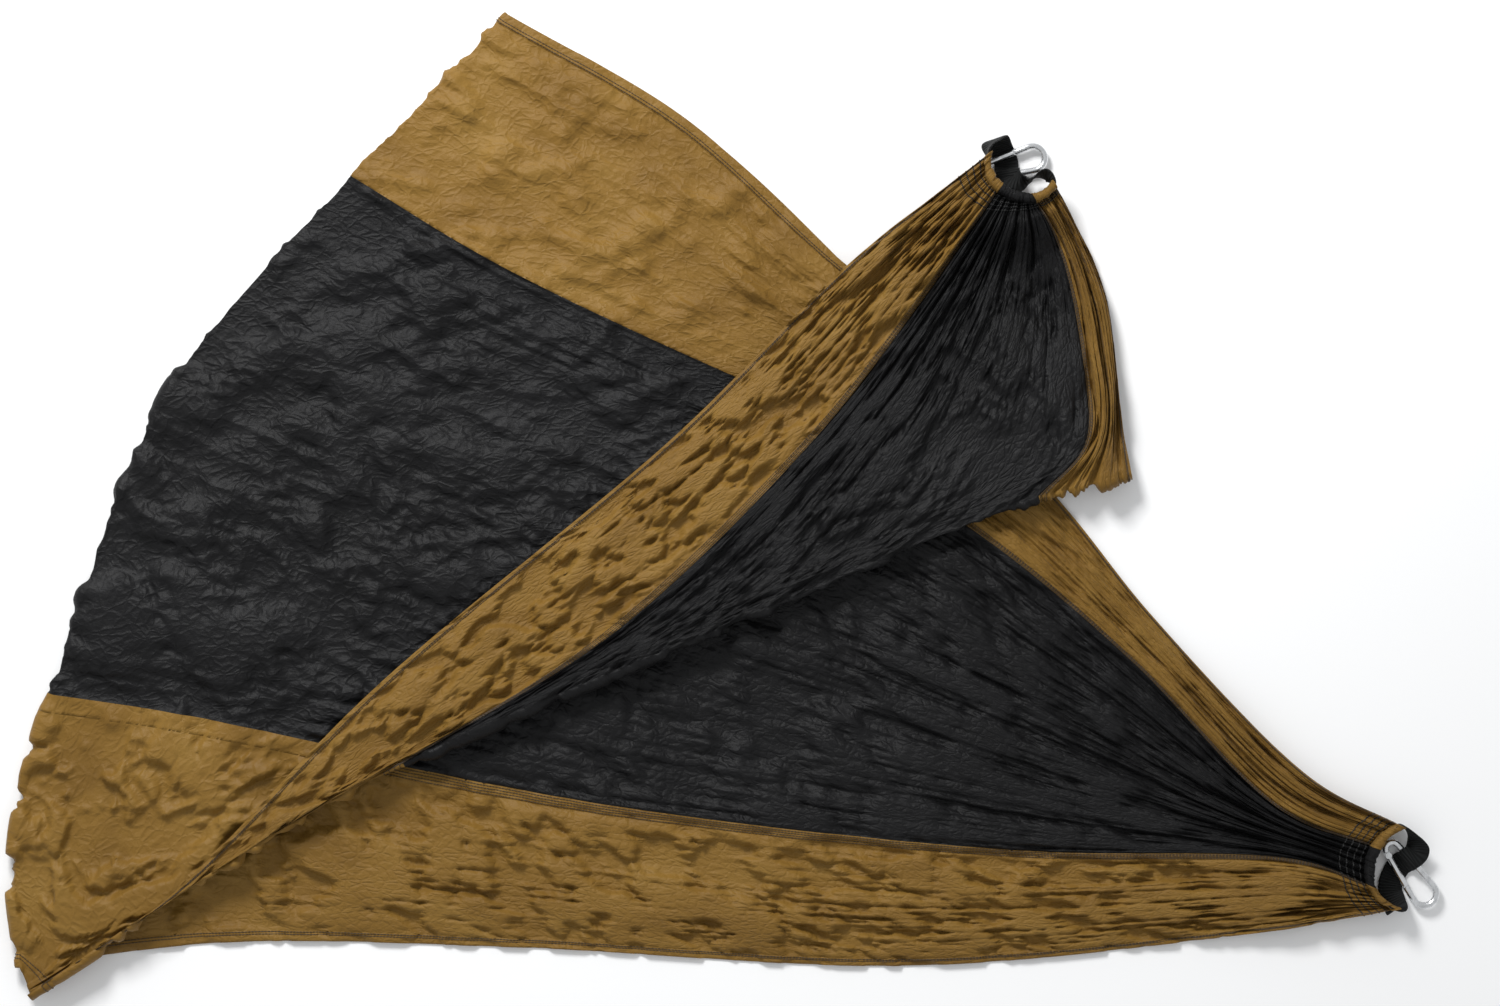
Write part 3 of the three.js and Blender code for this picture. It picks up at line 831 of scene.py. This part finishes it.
WRAP_RADIUS = WIRE_RADIUS + 0.8 + WEBBING_THICK / 2
FLOOR_HEIGHT = 0.7 + WEBBING_THICK / 2
OVER_HEIGHT = HOOK_HEIGHT + WRAP_RADIUS


def round_spine(letter, along):
    """The webbing's way round the spine wire of a hook."""
    turns = ((-1.35, -0.7), (-1, 0), (-0.71, 0.71), (0, 1))
    return [
        by_hook(letter, along, out * WRAP_RADIUS, HOOK_HEIGHT + above * WRAP_RADIUS)
        for out, above in turns
    ]


LOOPS = {
    "b": [
        *[stand(END_B, i / 6, CHANNEL_B_HEIGHT) for i in range(7)],
        ((674, -400, 8), (0.7, 0.1, 0.7)),
        ((670, -388, FLOOR_HEIGHT + 0.6), (1, 0, 0)),
        ((671, -376, FLOOR_HEIGHT), (0.9, -0.4, 0)),
        by_hook("b", 18, -13, FLOOR_HEIGHT),
        *round_spine("b", 18),
        by_hook("b", 18, 9, 12),
        ((691, -331, 14), (0.5, -0.4, 0.7)),
    ],
    "a": [
        *[stand(END_A, i / 6, CHANNEL_A_HEIGHT) for i in range(7)],
        ((269, 358, 24), (0.5, 0, 0.8)),
        ((276, 363, 13), (0.9, 0.3, 0.4)),
        by_hook("a", 25, -28, FLOOR_HEIGHT + 2),
        by_hook("a", 28, -13, FLOOR_HEIGHT),
        *round_spine("a", 27),
        by_hook("a", 27, 2.5, OVER_HEIGHT + 0.7),
        by_hook("a", 29, 5, 15.5, (0.97, 0.17, 0.17)),
        ((307, 323, 23), (0.8, 0.1, 0.6)),
        ((324, 326, 28), (0.3, 0.3, 0.9)),
    ],
}


def loop_frames(loop, t):
    """Middle, way across and face direction of a webbing loop at each t."""
    middles, widths = np.array([p for p, _ in loop]), np.array([w for _, w in loop], float)
    middle = curve(middles, t, closed=True)
    ahead = way_along(middles, t, closed=True)
    face = unit(np.cross(ahead, curve(widths, t, closed=True)))
    return middle, unit(np.cross(face, ahead)), face


def webbing_loop(letter):
    """The woven tape: its two edges are rounded off, thinner than its middle."""
    loop = LOOPS[letter]
    t = np.arange(len(loop) * 16) / (len(loop) * 16)
    middle, way, face = loop_frames(loop, t)
    side = np.linspace(-1, 1, 15)
    half = WEBBING_THICK / 2 * np.array([0.45, 0.85, *np.full(11, 1.0), 0.85, 0.45])
    half[2] = half[12] = WEBBING_THICK / 2 * 0.98
    top = middle[:, None] + way[:, None] * side[None, :, None] * WEBBING_WIDTH / 2
    lift_by = face[:, None] * half[None, :, None]
    ring = np.concatenate([top + lift_by, (top - lift_by)[:, ::-1]], 1)
    steps = np.linalg.norm(np.diff(middle, axis=0), axis=1)
    length = np.concatenate([[0], np.cumsum(steps)])
    places = np.zeros((*ring.shape[:2], 2))
    places[..., 0] = length[:, None]
    places[..., 1] = np.concatenate([side, side[::-1]])[None] * WEBBING_WIDTH / 2
    piece = grid_object(f"webbing_loop_{letter}", ring, closed=True, looped=True, coordinates=places)
    return finished(piece, "hammock", webbing, "webbing", f"webbing_{letter}")


def bartack_zigzag(letter):
    """The tack that closes a loop inside its channel: a tight zigzag of thread."""
    loop = LOOPS[letter]
    turns = 26
    t = np.linspace(2.72, 3.28, turns * 2 + 1) / len(loop)
    middle, way, face = loop_frames(loop, t)
    side = np.where(np.arange(len(t)) % 2 == 0, -1, 1)[:, None]
    path = middle + face * (WEBBING_THICK / 2 + 0.45) + way * side * 8.5
    piece = grid_object(f"webbing_{letter}_tack", tube(path, np.full(len(path), 0.3), 6), closed=True)
    return finished(piece, "hammock", black_thread, "thread", f"webbing_{letter}_bartack")


for letter in ("a", "b"):
    webbing_loop(letter)
    bartack_zigzag(letter)

# ---- Snap hooks ----


def hook_wire(letter):
    """The bent wire of a hook, from the gate's pivot round both bends to the rounded nose."""
    quarter = math.pi / 2
    path = []
    for angle in np.linspace(3 * quarter - TAPER, quarter + TAPER, 22):
        path.append((NARROW_RADIUS * math.cos(angle), NARROW_RADIUS * math.sin(angle), 0))
    for angle in np.linspace(quarter + TAPER, -quarter - TAPER, 36):
        x = BEND_SPACING + WIDE_RADIUS * math.cos(angle)
        path.append((x, WIDE_RADIUS * math.sin(angle), 0))
    nose = beside(-1, NOSE_AT, 0)
    back = unit(nose - np.array(path[-1]))
    radii = [0.05, 0.55, 0.85, *np.ones(len(path)), 1, 0.85, 0.55, 0.05]
    start_back = unit(np.array(path[0]) - np.array(path[1]))
    first = [np.array(path[0]) + start_back * d for d in (0.1, 0.06, 0)]
    ends = [nose - back * d for d in (1.2, 0.4, 0.1, 0)]
    path = np.array([*first, *path, *ends])
    rings = tube(path, np.array(radii) * WIRE_RADIUS, 24)
    wire = grid_object(f"hook_{letter}_wire", on_hook(letter, rings), closed=True)
    return finished(wire, f"hook_{letter}", steel, "steel")


for letter in ("a", "b"):
    hook_wire(letter)
for name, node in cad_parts.items():
    if name.startswith("hook_"):
        node.data.materials.clear()
        node.data.materials.append(steel)

# ---- Floor, light and camera ----


def plain(name, colour, roughness):
    n = Nodes(name)
    n.shader.inputs["Base Color"].default_value = (*colour, 1)
    n.shader.inputs["Roughness"].default_value = roughness
    return n.material


def quad(name, size, place, material):
    corners = [(-size, -size, 0), (size, -size, 0), (size, size, 0), (-size, size, 0)]
    mesh = bpy.data.meshes.new(name)
    mesh.from_pydata(corners, [], [(0, 1, 2, 3)])
    mesh.materials.append(material)
    piece = bpy.data.objects.new(name, mesh)
    piece.location = place
    bpy.context.scene.collection.objects.link(piece)
    return piece


floor = quad("floor", 12, (0, 0, -0.0005), plain("white floor", (0.93, 0.93, 0.93), 0.9))

world = bpy.data.worlds.new("soft white room")
bpy.context.scene.world = world
world.use_nodes = True
sky = world.node_tree.nodes["Background"]
sky.inputs["Color"].default_value = (0.97, 0.985, 1, 1)
sky.inputs["Strength"].default_value = 0.6


def area_light(name, place, size, power):
    """A square lamp that points at the middle of the floor."""
    light = bpy.data.lights.new(name, "AREA")
    light.size = size
    light.energy = power
    piece = bpy.data.objects.new(name, light)
    piece.location = place
    piece.rotation_mode = "QUATERNION"
    piece.rotation_quaternion = (-Vector(place)).to_track_quat("-Z", "Y")
    bpy.context.scene.collection.objects.link(piece)


area_light("softbox", (-0.9, 2.0, 1.9), 0.8, 86)

camera_data = bpy.data.cameras.new("camera")
camera_data.lens = 85
camera_data.sensor_width = 36
camera = bpy.data.objects.new("camera", camera_data)
PICTURE_WIDTH = 1.5  # metres of floor that the picture is wide
camera.location = (0.0277, 0.0013, PICTURE_WIDTH * camera_data.lens / camera_data.sensor_width)
bpy.context.scene.collection.objects.link(camera)
bpy.context.scene.camera = camera

bpy.context.scene.view_settings.view_transform = "Standard"
